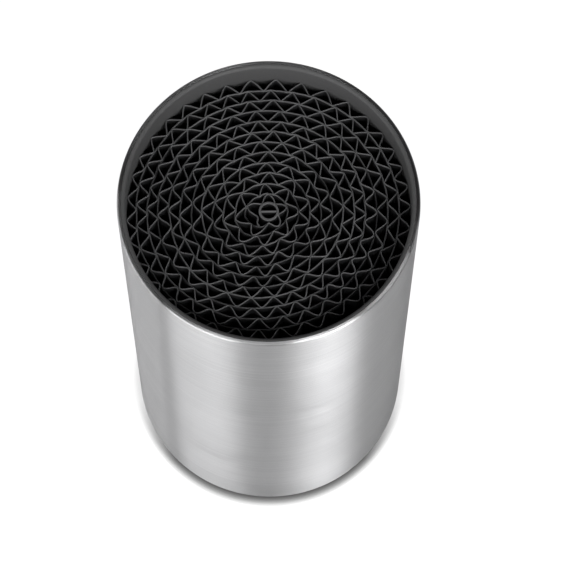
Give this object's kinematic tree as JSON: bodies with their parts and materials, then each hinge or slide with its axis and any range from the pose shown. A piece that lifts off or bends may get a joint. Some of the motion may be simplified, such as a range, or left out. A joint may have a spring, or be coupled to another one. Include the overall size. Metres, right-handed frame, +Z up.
{
  "type": "round knife block",
  "caption": "Round steel-sleeved knife block with a plastic liner cup and a lift-out spiral fluted insert that holds knife blades upright.",
  "frame": {"origin": "on the table, under the middle of the round base, level with the undersides of the feet", "axes": "+Z up along the block's axis and the insert's lift; +X along the web in the insert's core"},
  "size_m": [0.116, 0.116, 0.225],
  "materials": {
    "sleeve_steel": "brushed round the sleeve, satin",
    "liner_plastic": "fine moulded matt",
    "strip_plastic": "smooth extruded plastic, satin",
    "base_plastic": "fine moulded matt",
    "foot_rubber": "soft matt rubber",
    "screw_steel": "zinc plated, bright"
  },
  "bodies": {
    "block": {"outer_sleeve": "sleeve_steel", "liner_cup": "liner_plastic", "base_plate": "base_plastic", "base_screw_1": "screw_steel", "base_screw_2": "screw_steel", "base_screw_3": "screw_steel", "foot_pad_1": "foot_rubber", "foot_pad_2": "foot_rubber", "foot_pad_3": "foot_rubber"},
    "insert": {"insert_core": "strip_plastic", "flat_strip": "strip_plastic", "fluted_strip": "strip_plastic"}
  },
  "joints": [
    {"name": "insert_lift", "type": "slide", "parent": "block", "child": "insert", "axis": [0, 0, 1], "range_m": [0, 0.22]}
  ]
}
